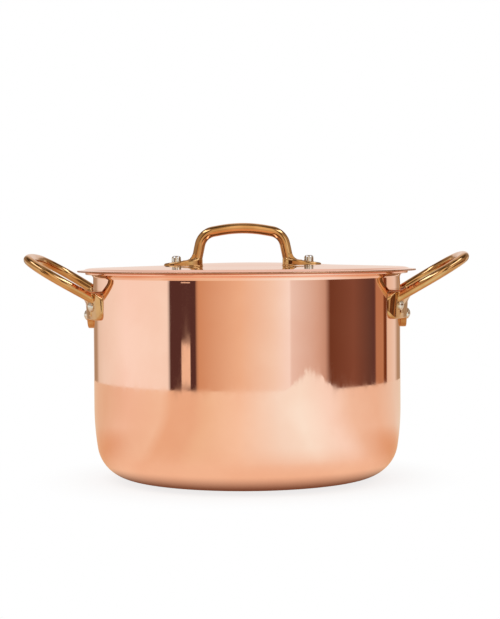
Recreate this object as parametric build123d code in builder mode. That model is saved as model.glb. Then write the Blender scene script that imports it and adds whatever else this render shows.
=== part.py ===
from build123d import *
import math
import os

# Lidded copper pan with two cast brass side handles and a brass arch handle on the lid.
# All lengths are millimetres. The pan stands on z = 0 with its axis on Z; the side handles lie along X.

# Pan: a copper shell with a flared lip, lined with tin
body_radius = 120.0            # outside of the wall
rim_height = 162.8             # top of the lip above the table
wall_thickness = 2.0
tin_thickness = 0.3
lip_overhang = 6.2             # how far the lip stands out from the wall
lip_bend_radius = 3.2          # hollow curve under the lip
corner_radius = 28.0           # tightest part of the corner between base and wall
flank_radius = 200.0           # slow curve on each side of that corner
flank_angle = 9.0              # degrees that each slow curve turns
lining_end_angle = 60.0        # degrees of the lip's bend that the tin covers

# Lid: a thin sheet, flat at its edge, dished up inside a small step, crowned in the middle
lid_overhang = 6.15            # how far the lid reaches beyond the lip
lid_sheet = 1.2
lid_step_height = 1.5          # rise of the dished part above the flat edge
lid_step_outset = 0.6          # the dished part begins this far outside the lip
lid_step_width = 2.0
lid_slope_rise = 1.7           # rise from the step to the crown
crown_plan_radius = 70.0
crown_rise = 2.2               # rise from the crown's edge to the middle of the lid

# Locating collar soldered under the lid
collar_sheet = 1.5
collar_depth = 5.0             # how far it drops below the lip
collar_clearance = 0.6         # between the collar and the tin inside the wall
collar_bend_radius = 2.5
collar_edge_radius = 0.5

# Lid handle: a brass arch on two leaf-shaped feet, measured from the lid's flat edge
handle_offset = -3.1           # the handle sits a little to one side of the lid's middle
arch_guide_height = 33.9       # where the guide lines of the top meet
arch_shoulder_drop = 5.7       # from there down to the shoulder points
arch_shoulder_half_width = 31.5
arch_foot_half_width = 37.5
arch_shoulder_radius = 13.0
arch_crown_radius = 100.0
arch_bar = 8.3                 # thickness seen from the front
arch_depth = 9.2               # front to back
arch_edge_radius = 3.8         # rounding along the bar
flare_reach = 46.5             # how far the flare outside each leg runs out along the foot
flare_thickness = 3.1
flare_radius = 6.0             # hollow curve between leg and foot
foot_reach = 61.8              # tip of each foot from the middle of the handle
foot_root = 31.3               # inner end of each foot
foot_half_width = 8.6
foot_tip_thickness = 2.6
foot_root_thickness = 3.8      # at the inner end
foot_edge_radius = 1.1

# Lid rivets: tall heads above, flat heads below
lid_rivet_spread = 52.0        # from the middle of the handle
lid_rivet_shank = 4.6          # diameter
lid_rivet_base = 6.8           # diameter of the tall head where it sits on the foot
lid_rivet_top = 5.8            # diameter of that head near its top
lid_rivet_height = 4.7         # above the foot
lid_rivet_round = 1.5
lid_rivet_under_head = 10.0    # diameter of the head under the lid
lid_rivet_under_thickness = 1.1

# Side handles: a base plate that follows the wall, and a loop that rises from it
plate_thickness = 6.0          # at the middle of the plate
plate_end_thickness = 2.7      # at the ends of the wings
plate_lean = 4.0               # degrees that the face of the plate leans in towards the lobe
wing_half_span = 54.0
wing_height = 21.0
wing_drop = 26.0               # middle of the wings below the rim
wing_corner_radius = 8.5
lobe_radius = 11.5
lobe_drop = 6.8                # middle of the lobe below the middle of the wings
lobe_neck_radius = 7.0         # hollow curve between lobe and wings
plate_edge_radius = 1.2
ledge_angle = 18.0             # degrees each way round the wall that the ledge covers
ledge_reach = 11.0             # how far the ledge stands out from the wall
ledge_bottom_drop = 6.8        # below the middle of the wings
ledge_top_rise = 11.7          # above the middle of the wings
ledge_lip = 4.5                # thickness of its outer edge
ledge_hollow_radius = 40.0
loop_tilt = 30.5               # degrees above level
loop_root_rise = 7.8           # the loop's plane at the wall, above the middle of the wings
loop_bar_width = 9.0           # in the plane of the loop
loop_bar_thickness = 7.8       # square to that plane
loop_start = 6.0               # how far the bars begin inside the wall line
loop_spread = 15.95            # degrees that each bar leans outwards at its root
loop_half_width = 47.5
loop_reach = 58.4
loop_end_bow = 6.4             # how far the closed end bows out beyond its corners
loop_shoulder_radius = 40.0    # where the two bars become parallel
loop_corner_radius = 26.0
loop_side_straight = 1.66      # between a shoulder and a corner
loop_end_straight = 0.95       # between a corner and the bow of the end

# Side rivets: low domed heads outside, flatter heads on the tin inside
rivet_shank = 5.0              # diameter
rivet_head = 8.4               # diameter of the outer head
rivet_head_height = 2.7
rivet_inner_head = 9.0         # diameter of the inner head
rivet_inner_height = 1.4
rivet_seat_depth = 1.5         # how deep a head is drawn into its plate before it is cut to fit
upper_rivet_angle = 18.4       # degrees from the middle of the plate
upper_rivet_rise = 0.2         # above the middle of the wings
lower_rivet_drop = 7.8         # below the middle of the wings
rivet_clearance = 0.05         # all round a shank

cut_margin = 5.0               # overrun of every cut

# Values worked out from the sizes above
corner_turn = 90.0 - 2.0 * flank_angle
flank_sine = math.sin(math.radians(flank_angle))
flank_cosine = math.cos(math.radians(flank_angle))
flank_span = flank_radius * (flank_sine + 1.0 - flank_cosine)
corner_span = flank_span + corner_radius * (flank_cosine - flank_sine)
base_radius = body_radius - corner_span
lip_radius = body_radius + lip_overhang
lip_bend_height = rim_height - wall_thickness - lip_bend_radius
inner_radius = body_radius - wall_thickness
lining_radius = inner_radius - tin_thickness
lid_radius = lip_radius + lid_overhang
lid_step_radius = lip_radius + lid_step_outset
lid_edge_top = rim_height + lid_sheet
crown_height = lid_step_height + lid_slope_rise + crown_rise
crown_sphere_radius = (crown_plan_radius ** 2 + crown_rise ** 2) / (2.0 * crown_rise)
collar_radius = lining_radius - collar_clearance
collar_flange_radius = lip_radius - wall_thickness / 2.0
wing_centre_height = rim_height - wing_drop
lobe_centre_height = wing_centre_height - lobe_drop
ledge_bottom = wing_centre_height - ledge_bottom_drop
ledge_top = wing_centre_height + ledge_top_rise
loop_root_height = wing_centre_height + loop_root_rise
upper_rivet_height = wing_centre_height + upper_rivet_rise
lower_rivet_height = wing_centre_height - lower_rivet_drop
loop_spread_share = math.tan(math.radians(loop_spread))
loop_end_lean = math.atan2(loop_end_bow, loop_half_width)
loop_corner_run = loop_corner_radius * math.tan((math.pi / 2.0 - loop_end_lean) / 2.0)
loop_shoulder_run = loop_shoulder_radius * math.tan(math.radians(loop_spread) / 2.0)
loop_corner = loop_reach - loop_end_bow
loop_shoulder = loop_corner - loop_corner_run - loop_side_straight - loop_shoulder_run
loop_root_half_width = loop_half_width - (loop_shoulder + loop_start) * loop_spread_share
loop_end_run = math.hypot(loop_end_bow, loop_half_width) - loop_corner_run - loop_end_straight
loop_end_radius = loop_end_run / math.tan(loop_end_lean)
plate_middle = body_radius + plate_thickness
plate_bow = plate_middle - math.sqrt((body_radius + plate_end_thickness) ** 2 - wing_half_span ** 2)
plate_radius = (wing_half_span ** 2 + plate_bow ** 2) / (2.0 * plate_bow)
plate_centre = plate_middle - plate_radius
plate_slope_share = math.tan(math.radians(plate_lean))
side_rivet_places = {
    "front": (-upper_rivet_angle, upper_rivet_height),
    "rear": (upper_rivet_angle, upper_rivet_height),
    "lower": (0.0, lower_rivet_height),
}


def wall_corner(inset):
    """Curve from the flat of the base round to the wall, moved inwards by inset."""
    first = JernArc((base_radius, inset), (1, 0), flank_radius - inset, flank_angle)
    second = JernArc(first @ 1, first % 1, corner_radius - inset, corner_turn)
    return JernArc(second @ 1, second % 1, flank_radius - inset, flank_angle)


def lid_slope_height(radius):
    """Height of the lid's even slope above its flat edge, at one distance from the axis."""
    share = (lid_step_radius - radius) / (lid_step_radius - crown_plan_radius)
    return lid_step_height + lid_slope_rise * share


def lid_top_height(radius):
    """Height above the table of the lid's crown, at one distance from the axis."""
    sag = crown_sphere_radius - math.sqrt(crown_sphere_radius ** 2 - radius ** 2)
    return lid_edge_top + crown_height - sag


def foot_top_height(reach):
    """Height of the top of the lid handle's feet, at one distance from the handle's middle."""
    root_top = lid_top_height(foot_root) + foot_root_thickness
    tip_top = lid_top_height(foot_reach) + foot_tip_thickness
    return root_top + (tip_top - root_top) * (reach - foot_root) / (foot_reach - foot_root)


def lid_crown_curve(edge_height):
    """Crown and slope of the lid from the axis to the step, with the flat edge at edge_height."""
    middle = (0, edge_height + crown_height)
    shoulder = (crown_plan_radius, edge_height + lid_step_height + lid_slope_rise)
    crown = RadiusArc(middle, shoulder, crown_sphere_radius)
    return Line(crown @ 1, (lid_step_radius, edge_height + lid_step_height))


def radial_plane(angle, height):
    """Plane square to a line out of the pan's axis; its normal points outwards."""
    sine = math.sin(math.radians(angle))
    cosine = math.cos(math.radians(angle))
    return Plane(origin=(0, 0, height), x_dir=(-sine, cosine, 0), z_dir=(cosine, sine, 0))


def radial_section(angle, height):
    """Plane through a line out of the pan's axis; local X runs outwards along that line."""
    sine = math.sin(math.radians(angle))
    cosine = math.cos(math.radians(angle))
    return Plane(origin=(0, 0, height), x_dir=(cosine, sine, 0), z_dir=(sine, -cosine, 0))


def make_side_rivet_bores():
    """Radial bores through plate, wall and tin: three on each side of the pan."""
    with BuildPart() as bores:
        for side_angle in (0, 180):
            for angle, height in side_rivet_places.values():
                with BuildSketch(radial_plane(side_angle + angle, height)):
                    Circle(rivet_shank / 2.0 + rivet_clearance)
                extrude(amount=body_radius + plate_thickness + cut_margin)
    return bores.part


def make_lid_rivet_bores():
    """Two upright bores through the feet, the lid and its tin."""
    with BuildPart() as bores:
        for side in (-1, 1):
            with Locations((handle_offset + side * lid_rivet_spread, 0, lid_edge_top)):
                Cylinder(lid_rivet_shank / 2.0 + rivet_clearance, arch_guide_height)
    return bores.part


def make_pot_body(bores):
    """Copper shell: flat base, full corner, straight wall and a lip bent outwards."""
    half_wall = wall_thickness / 2.0
    with BuildPart() as pot_body:
        with BuildSketch(Plane.XZ):
            with BuildLine():
                Line((0, 0), (base_radius, 0))
                outer = wall_corner(0)
                wall = Line(outer @ 1, (body_radius, lip_bend_height))
                hollow = JernArc(wall @ 1, (0, 1), lip_bend_radius, -90)
                under = Line(hollow @ 1, (lip_radius - half_wall, rim_height - wall_thickness))
                edge = JernArc(under @ 1, (1, 0), half_wall, 180)
                top = Line(edge @ 1, (body_radius + lip_bend_radius, rim_height))
                bend = JernArc(top @ 1, (-1, 0), lip_bend_radius + wall_thickness, 90)
                inner = wall_corner(wall_thickness)
                Line(bend @ 1, inner @ 1)
                Line((base_radius, wall_thickness), (0, wall_thickness))
                Line((0, wall_thickness), (0, 0))
            make_face()
        revolve(axis=Axis.Z)
        add(bores, mode=Mode.SUBTRACT)
    return pot_body


def make_pot_lining(bores):
    """Tin over the whole inside, ending just under the top of the lip."""
    inset = wall_thickness + tin_thickness
    with BuildPart() as pot_lining:
        with BuildSketch(Plane.XZ):
            with BuildLine():
                Line((0, wall_thickness), (base_radius, wall_thickness))
                outer = wall_corner(wall_thickness)
                wall = Line(outer @ 1, (inner_radius, lip_bend_height))
                bend = JernArc(wall @ 1, (0, 1), lip_bend_radius + wall_thickness, -lining_end_angle)
                inner = wall_corner(inset)
                inner_wall = Line(inner @ 1, (lining_radius, lip_bend_height))
                inner_bend = JernArc(inner_wall @ 1, (0, 1), lip_bend_radius + inset, -lining_end_angle)
                Line(bend @ 1, inner_bend @ 1)
                Line((base_radius, inset), (0, inset))
                Line((0, inset), (0, wall_thickness))
            make_face()
        revolve(axis=Axis.Z)
        add(bores, mode=Mode.SUBTRACT)
    return pot_lining


def make_lid_blank():
    """Copper sheet of the lid before it is bored for the rivets."""
    half_sheet = lid_sheet / 2.0
    step_foot = lid_step_radius + lid_step_width
    with BuildPart() as blank:
        with BuildSketch(Plane.XZ):
            with BuildLine():
                upper = lid_crown_curve(lid_edge_top)
                Line(upper @ 1, (step_foot, lid_edge_top))
                flat = Line((step_foot, lid_edge_top), (lid_radius - half_sheet, lid_edge_top))
                edge = JernArc(flat @ 1, (1, 0), half_sheet, -180)
                Line(edge @ 1, (step_foot, rim_height))
                lower = lid_crown_curve(rim_height)
                Line((step_foot, rim_height), lower @ 1)
                Line((0, rim_height + crown_height), (0, lid_edge_top + crown_height))
            make_face()
        revolve(axis=Axis.Z)
    return blank.part


def make_tin_blank():
    """Tin coat under the dished part of the lid before it is bored."""
    tin_height = rim_height - tin_thickness
    with BuildPart() as blank:
        with BuildSketch(Plane.XZ):
            with BuildLine():
                upper = lid_crown_curve(rim_height)
                lower = lid_crown_curve(tin_height)
                Line(upper @ 1, lower @ 1)
                Line((0, tin_height + crown_height), (0, rim_height + crown_height))
            make_face()
        revolve(axis=Axis.Z)
        with Locations((0, 0, rim_height)):
            Cylinder(collar_flange_radius, lid_radius, mode=Mode.INTERSECT)
    return blank.part


def make_lid_envelope():
    """Everything under the top of the lid, used to seat what stands on it."""
    floor_height = rim_height - cut_margin
    with BuildPart() as envelope:
        with BuildSketch(Plane.XZ):
            with BuildLine():
                upper = lid_crown_curve(lid_edge_top)
                Line(upper @ 1, (lid_step_radius, floor_height))
                Line((lid_step_radius, floor_height), (0, floor_height))
                Line((0, floor_height), (0, lid_edge_top + crown_height))
            make_face()
        revolve(axis=Axis.Z)
    return envelope.part


def make_bored(blank, bores):
    """A blank with the bores for its rivets cut through it."""
    with BuildPart() as bored:
        add(blank)
        add(bores, mode=Mode.SUBTRACT)
    return bored


def make_lid_collar():
    """Ring that rests on the lip and drops inside the wall, so that the lid stays centred."""
    band_inner = collar_radius - collar_sheet
    bottom = rim_height - collar_depth
    seat = rim_height - tin_thickness
    outer_top = (collar_flange_radius, seat + lid_slope_height(collar_flange_radius))
    inner_top = (band_inner, seat + lid_slope_height(band_inner))
    with BuildPart() as lid_collar:
        with BuildSketch(Plane.XZ) as section:
            with BuildLine():
                Line((band_inner, bottom), (collar_radius, bottom))
                band = Line((collar_radius, bottom), (collar_radius, rim_height - collar_bend_radius))
                bend = JernArc(band @ 1, (0, 1), collar_bend_radius, -90)
                flange = Line(bend @ 1, (collar_flange_radius, rim_height))
                Line(flange @ 1, outer_top)
                Line(outer_top, inner_top)
                Line(inner_top, (band_inner, bottom))
            make_face()
            fillet(section.vertices().group_by(Axis.Y)[0], collar_edge_radius)
        revolve(axis=Axis.Z)
    return lid_collar


def arch_guide():
    """Middle line of the arch from foot to foot, straight stretches joined by tangent arcs."""
    apex = lid_edge_top + arch_guide_height
    shoulder = apex - arch_shoulder_drop
    return FilletPolyline(
        (handle_offset - arch_foot_half_width, lid_edge_top),
        (handle_offset - arch_shoulder_half_width, shoulder),
        (handle_offset, apex),
        (handle_offset + arch_shoulder_half_width, shoulder),
        (handle_offset + arch_foot_half_width, lid_edge_top),
        radius=[arch_shoulder_radius, arch_crown_radius, arch_shoulder_radius],
    )


def make_arch():
    """The bar of the lid handle, flared outwards at the bottom of each leg, its edges rounded."""
    flare_top = lid_top_height(flare_reach) + flare_thickness
    flare_width = flare_reach - arch_foot_half_width
    flare_middle = arch_foot_half_width + flare_width / 2.0
    with BuildPart() as arch:
        with BuildSketch(Plane.XZ) as outline:
            with BuildLine():
                arch_guide()
            trace(line_width=arch_bar)
            for side in (-1, 1):
                with Locations((handle_offset + side * flare_middle, (lid_edge_top + flare_top) / 2.0)):
                    Rectangle(flare_width, flare_top - lid_edge_top)
            flare_ends = outline.vertices().group_by(Axis.X)
            upper = outline.vertices().filter_by(lambda corner: corner.Y > lid_edge_top + flare_thickness)
            hollows = upper - flare_ends[0] - flare_ends[-1]
            hollows = hollows.filter_by(lambda corner: corner.Y < lid_edge_top + arch_bar)
            fillet(hollows, flare_radius)
        extrude(amount=arch_depth / 2.0, both=True)
        long_edges = arch.faces().filter_by(Plane.XZ).edges()
        long_edges = long_edges.filter_by(lambda edge: edge.center().Z > flare_top - flare_thickness)
        fillet(long_edges, arch_edge_radius)
    return arch.part


def make_foot(side):
    """One leaf-shaped foot, thinner towards its tip, with its upper edge rounded."""
    root = handle_offset + side * foot_root
    tip = handle_offset + side * foot_reach
    with BuildPart() as foot:
        with BuildSketch(Plane.XZ):
            with BuildLine():
                Polyline(
                    (root, lid_edge_top),
                    (root, foot_top_height(foot_root)),
                    (tip, foot_top_height(foot_reach)),
                    (tip, lid_edge_top),
                    close=True,
                )
            make_face()
        extrude(amount=foot_half_width, both=True)
        with BuildSketch(Plane.XY.offset(lid_edge_top)):
            with Locations(((root + tip) / 2.0, 0)):
                Ellipse((foot_reach - foot_root) / 2.0, foot_half_width)
        extrude(amount=arch_guide_height, mode=Mode.INTERSECT)
        fillet(foot.faces().sort_by(Axis.Z)[-1].edges(), foot_edge_radius)
    return foot.part


def make_lid_handle_blank(envelope):
    """Brass arch and its two feet as one casting, seated on the crown of the lid."""
    arch = make_arch()
    left_foot = make_foot(-1)
    right_foot = make_foot(1)
    with BuildPart() as blank:
        add(arch)
        add(left_foot)
        add(right_foot)
        add(envelope, mode=Mode.SUBTRACT)
    return blank.part


def make_lid_rivet(side, lid_blank, tin_blank, handle_blank):
    """Tall head on the foot, shank through the lid, flat head against the tin."""
    middle = handle_offset + side * lid_rivet_spread
    sheet_top = lid_top_height(abs(middle))
    head_top = foot_top_height(lid_rivet_spread) + lid_rivet_height
    seat = sheet_top + foot_edge_radius
    under_bottom = sheet_top - lid_sheet - tin_thickness - lid_rivet_under_thickness
    with BuildPart() as rivet:
        with BuildSketch(Plane.XY.offset(under_bottom)):
            with Locations((middle, 0)):
                Circle(lid_rivet_under_head / 2.0)
        extrude(amount=lid_rivet_under_thickness + tin_thickness)
        add(lid_blank, mode=Mode.SUBTRACT)
        add(tin_blank, mode=Mode.SUBTRACT)
    with BuildPart() as head:
        with BuildSketch(Plane.XY.offset(seat)):
            with Locations((middle, 0)):
                Circle(lid_rivet_base / 2.0)
        with BuildSketch(Plane.XY.offset(head_top)):
            with Locations((middle, 0)):
                Circle(lid_rivet_top / 2.0)
        loft()
        fillet(head.edges().group_by(Axis.Z)[-1], lid_rivet_round)
        add(handle_blank, mode=Mode.SUBTRACT)
    with BuildPart() as whole:
        add(rivet.part)
        add(head.part)
        with BuildSketch(Plane.XY.offset(under_bottom)):
            with Locations((middle, 0)):
                Circle(lid_rivet_shank / 2.0)
        extrude(amount=head_top - lid_rivet_round - under_bottom)
    return whole


def make_plate():
    """Base plate of a side handle: two wings and a lower lobe, bent to the wall."""
    with BuildPart() as plate:
        with BuildSketch(Plane.YZ) as outline:
            with Locations((0, wing_centre_height)):
                RectangleRounded(2.0 * wing_half_span, wing_height, wing_corner_radius)
            with Locations((0, lobe_centre_height)):
                Circle(lobe_radius)
            neck = outline.vertices().filter_by(lambda vertex: abs(vertex.X) < lobe_radius)
            fillet(neck, lobe_neck_radius)
        extrude(amount=plate_middle + cut_margin)
        taper = plate_slope_share * body_radius / 2.0
        with Locations((plate_centre, 0, wing_centre_height)):
            Cone(plate_radius - taper, plate_radius + taper, body_radius, mode=Mode.INTERSECT)
        outer_face = plate.faces().filter_by(GeomType.CONE).sort_by(SortBy.AREA)[-1]
        fillet(outer_face.edges(), plate_edge_radius)
    return plate.part


def make_ledge():
    """Ledge along the top of the plate that joins the roots of the two bars."""
    sine = math.sin(math.radians(ledge_angle))
    cosine = math.cos(math.radians(ledge_angle))
    start = Plane(origin=(0, 0, 0), x_dir=(cosine, -sine, 0), z_dir=(-sine, -cosine, 0))
    with BuildPart() as ledge:
        with BuildSketch(start):
            with BuildLine():
                foot_of_ledge = (plate_middle - plate_edge_radius, ledge_bottom)
                lip_bottom = (body_radius + ledge_reach, ledge_top - ledge_lip)
                hollow = RadiusArc(foot_of_ledge, lip_bottom, ledge_hollow_radius)
                Polyline(
                    hollow @ 1,
                    (body_radius + ledge_reach, ledge_top),
                    (body_radius - wall_thickness, ledge_top - ledge_lip),
                    (body_radius - wall_thickness, ledge_bottom),
                    hollow @ 0,
                )
            make_face()
        revolve(axis=Axis.Z, revolution_arc=2.0 * ledge_angle)
    return ledge.part


def make_loop():
    """The loop that the hand takes: a bar swept round a U in a plane tilted upwards."""
    sine = math.sin(math.radians(loop_tilt))
    cosine = math.cos(math.radians(loop_tilt))
    root = (body_radius, 0, loop_root_height)
    plane = Plane(origin=root, x_dir=(cosine, 0, sine), z_dir=(-sine, 0, cosine))
    with BuildPart() as loop:
        with BuildLine(plane) as path:
            FilletPolyline(
                (-loop_start, -loop_root_half_width),
                (loop_shoulder, -loop_half_width),
                (loop_corner, -loop_half_width),
                (loop_reach, 0),
                (loop_corner, loop_half_width),
                (loop_shoulder, loop_half_width),
                (-loop_start, loop_root_half_width),
                radius=[
                    loop_shoulder_radius,
                    loop_corner_radius,
                    loop_end_radius,
                    loop_corner_radius,
                    loop_shoulder_radius,
                ],
            )
        wire = path.wire()
        with BuildSketch(Plane(origin=wire @ 0, x_dir=plane.z_dir, z_dir=wire % 0)):
            Ellipse(loop_bar_thickness / 2.0, loop_bar_width / 2.0)
        sweep(path=wire)
    return loop.part


def make_side_handle_blank():
    """One side handle as a single brass casting, its back cut to the wall of the pan."""
    plate = make_plate()
    ledge = make_ledge()
    loop = make_loop()
    with BuildPart() as blank:
        add(plate)
        add(ledge)
        add(loop)
        with Locations((0, 0, rim_height / 2.0)):
            Cylinder(body_radius, 2.0 * rim_height, mode=Mode.SUBTRACT)
    return blank.part


def plate_surface(angle, height):
    """Distance from the pan's axis to the outside of the plate, at one angle and height."""
    sine = math.sin(math.radians(angle))
    cosine = math.cos(math.radians(angle))
    radius = plate_radius + plate_slope_share * (height - wing_centre_height)
    return plate_centre * cosine + math.sqrt(radius ** 2 - (plate_centre * sine) ** 2)


def make_head(section, start, end, diameter):
    """Domed rivet head: a straight skirt from start, then a dome whose top is at end."""
    half = diameter / 2.0
    height = abs(end - start) - rivet_seat_depth
    skirt = end - math.copysign(height, end - start)
    dome_radius = (half ** 2 + height ** 2) / (2.0 * height)
    with BuildPart() as head:
        with BuildSketch(section):
            with BuildLine():
                Line((start, 0), (start, half))
                Line((start, half), (skirt, half))
                dome = ThreePointArc((skirt, half), dome_point(skirt, end, dome_radius, half), (end, 0))
                Line(dome @ 1, (start, 0))
            make_face()
        revolve(axis=Axis(section.origin, section.x_dir))
    return head.part


def dome_point(skirt, end, dome_radius, half):
    """A point half way round the dome of a rivet head."""
    angle = math.asin(half / dome_radius) / 2.0
    fall = dome_radius * (1.0 - math.cos(angle))
    return (end - math.copysign(fall, end - skirt), dome_radius * math.sin(angle))


def make_side_rivet(angle, height, handle_blank):
    """Domed head on the plate, shank through the wall, flatter head against the tin."""
    section = radial_section(angle, height)
    seat = plate_surface(angle, height)
    inner_seat = lining_radius + rivet_seat_depth
    inner_top = lining_radius - rivet_inner_height
    outer_head = make_head(section, seat - rivet_seat_depth, seat + rivet_head_height, rivet_head)
    inner_head = make_head(section, inner_seat, inner_top, rivet_inner_head)
    with BuildPart() as inner:
        add(inner_head)
        Cylinder(lining_radius, 2.0 * rim_height, mode=Mode.INTERSECT)
    with BuildPart() as rivet:
        add(outer_head)
        add(handle_blank, mode=Mode.SUBTRACT)
        add(inner.part)
        with BuildSketch(radial_plane(angle, height).offset(lining_radius - rivet_inner_height / 2.0)):
            Circle(rivet_shank / 2.0)
        extrude(amount=seat - lining_radius + rivet_inner_height)
    return rivet


def mirrored(part):
    """The same piece on the other side of the pan."""
    with BuildPart() as other:
        mirror(part, about=Plane.YZ)
    return other


def save(piece, name):
    """Label a finished piece and write it to its own file."""
    piece.part.label = name
    export_step(piece.part, f"parts/{name}.step")


os.makedirs("parts", exist_ok=True)

side_bores = make_side_rivet_bores()
save(make_pot_body(side_bores), "pot_body")
save(make_pot_lining(side_bores), "pot_lining")

lid_bores = make_lid_rivet_bores()
lid_blank = make_lid_blank()
tin_blank = make_tin_blank()
lid_handle_blank = make_lid_handle_blank(make_lid_envelope())
save(make_bored(lid_blank, lid_bores), "lid_shell")
save(make_bored(tin_blank, lid_bores), "lid_lining")
save(make_lid_collar(), "lid_collar")
save(make_bored(lid_handle_blank, lid_bores), "lid_handle")
for side, name in ((-1, "left"), (1, "right")):
    save(make_lid_rivet(side, lid_blank, tin_blank, lid_handle_blank), f"lid_rivet_{name}")

side_handle_blank = make_side_handle_blank()
right_handle = make_bored(side_handle_blank, side_bores)
save(right_handle, "right_handle")
save(mirrored(right_handle.part), "left_handle")
for name, (angle, height) in side_rivet_places.items():
    right_rivet = make_side_rivet(angle, height, side_handle_blank)
    save(right_rivet, f"right_rivet_{name}")
    save(mirrored(right_rivet.part), f"left_rivet_{name}")
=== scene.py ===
"""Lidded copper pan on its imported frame: spun copper and tin, cast brass handles, riveted joints.

Metres throughout. The pan's axis is Z, the side handles lie along X and the front faces -Y.
"""
import logging
import math
from dataclasses import dataclass, field
from enum import Enum

import bmesh
import bpy
from mathutils import Matrix, Vector


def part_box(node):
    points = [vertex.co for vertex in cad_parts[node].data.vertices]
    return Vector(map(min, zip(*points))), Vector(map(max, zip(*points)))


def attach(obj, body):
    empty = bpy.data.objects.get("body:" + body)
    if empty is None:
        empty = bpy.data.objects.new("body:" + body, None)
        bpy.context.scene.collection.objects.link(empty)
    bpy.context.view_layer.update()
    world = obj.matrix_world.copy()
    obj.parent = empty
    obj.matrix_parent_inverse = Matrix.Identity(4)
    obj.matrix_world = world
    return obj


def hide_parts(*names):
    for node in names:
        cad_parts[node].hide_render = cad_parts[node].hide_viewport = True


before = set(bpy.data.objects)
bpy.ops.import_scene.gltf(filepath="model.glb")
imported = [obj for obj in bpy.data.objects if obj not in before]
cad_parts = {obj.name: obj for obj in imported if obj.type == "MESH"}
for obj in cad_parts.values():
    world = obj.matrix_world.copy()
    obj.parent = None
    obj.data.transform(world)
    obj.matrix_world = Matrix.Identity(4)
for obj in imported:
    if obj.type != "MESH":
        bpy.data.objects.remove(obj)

LOG = logging.getLogger("copper_pan")
Colour = tuple[float, float, float]
Stop = tuple[float, Colour]
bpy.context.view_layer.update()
WELD = 1e-6
FINE_WELD = 1e-7
AIR = 2e-5


class Body(Enum):
    """Bodies that pieces ride on."""

    POT = "pot"
    LID = "lid"


class Slot(Enum):
    """Material slots of the record."""

    COPPER = "copper"
    BRASS = "brass"
    TIN = "tin"
    RIVET = "rivet_steel"


class Keep(Enum):
    """What a cut leaves of a blank."""

    INSIDE = "INTERSECT"
    OUTSIDE = "DIFFERENCE"


class Side(Enum):
    """Which side of the pan a handle is on."""

    RIGHT = 1
    LEFT = -1

    @property
    def label(self) -> str:
        """Side as it is written in names."""
        return self.name.lower()


# Bench tools


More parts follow.
